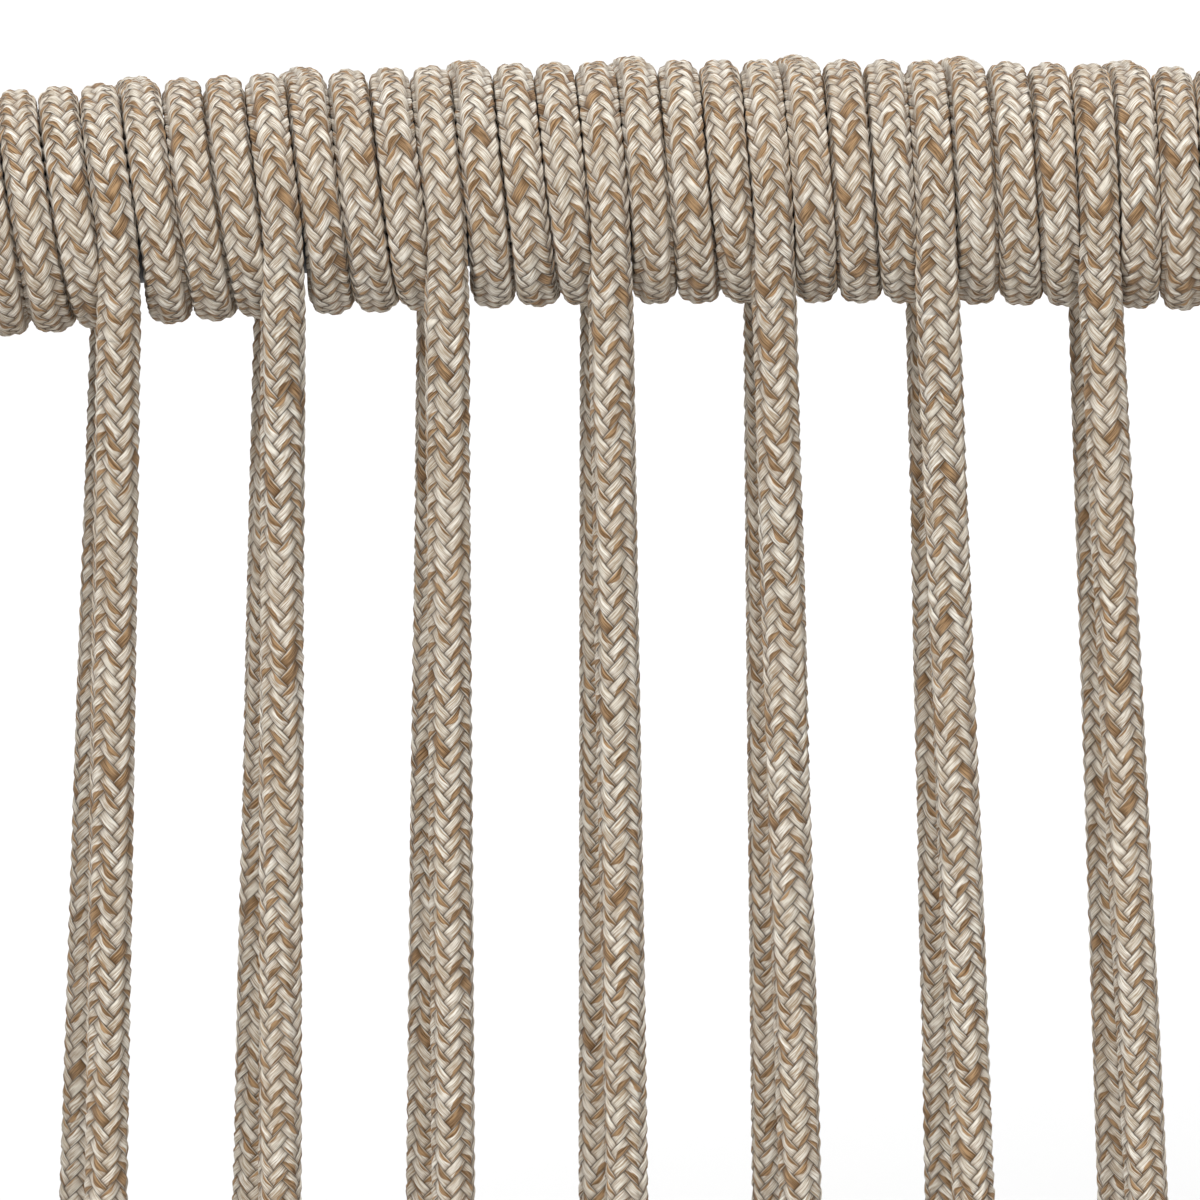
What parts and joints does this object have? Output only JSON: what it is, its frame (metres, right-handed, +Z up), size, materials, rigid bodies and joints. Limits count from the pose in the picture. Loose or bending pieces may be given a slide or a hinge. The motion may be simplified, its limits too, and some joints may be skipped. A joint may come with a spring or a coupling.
{
  "type": "rope-strung chair backrest",
  "caption": "Chair backrest panel: bent top and bottom rails between splayed uprights, laced with braided rope that is wound round the top rail and drops in front and behind.",
  "frame": {"origin": "centre of the mounting plane under the two feet", "axes": "+X across the panel, +Y from the front of the backrest to its back, +Z up"},
  "size_m": [0.5434, 0.086, 0.4251],
  "materials": {
    "powder_coat": "charcoal fine-texture powder coat on aluminium tube",
    "stainless": "brushed stainless steel",
    "plastic": "black moulded nylon, lightly grained",
    "rope": "cream and brown flat-strand polyolefin braid"
  },
  "bodies": {
    "root": {"top_rail": "powder_coat", "bottom_rail": "powder_coat", "left_upright": "powder_coat", "right_upright": "powder_coat", "rail_plug_top_left": "plastic", "saddle_top_left": "plastic", "washer_top_left": "stainless", "bolt_top_left": "stainless", "rail_plug_top_right": "plastic", "saddle_top_right": "plastic", "washer_top_right": "stainless", "bolt_top_right": "stainless", "rail_plug_bottom_left": "plastic", "saddle_bottom_left": "plastic", "washer_bottom_left": "stainless", "bolt_bottom_left": "stainless", "rail_plug_bottom_right": "plastic", "saddle_bottom_right": "plastic", "washer_bottom_right": "stainless", "bolt_bottom_right": "stainless", "left_top_cap": "plastic", "left_foot": "powder_coat", "left_foot_screw": "stainless", "left_rope_grommet": "plastic", "right_top_cap": "plastic", "right_foot": "powder_coat", "right_foot_screw": "stainless", "right_rope_grommet": "plastic", "rope_winding_01": "rope", "rope_winding_02": "rope", "rope_winding_03": "rope", "rope_winding_04": "rope", "rope_winding_05": "rope", "rope_winding_06": "rope", "rope_winding_07": "rope", "rope_winding_08": "rope", "rope_winding_09": "rope", "rope_winding_10": "rope", "rope_winding_11": "rope", "rope_winding_12": "rope", "rope_winding_13": "rope", "rope_loop_01": "rope", "rope_loop_02": "rope", "rope_loop_03": "rope", "rope_loop_04": "rope", "rope_loop_05": "rope", "rope_loop_06": "rope", "rope_loop_07": "rope", "rope_loop_08": "rope", "rope_loop_09": "rope", "rope_loop_10": "rope", "rope_loop_11": "rope", "rope_loop_12": "rope", "rope_start_run": "rope", "rope_finish_run": "rope"}
  },
  "joints": []
}
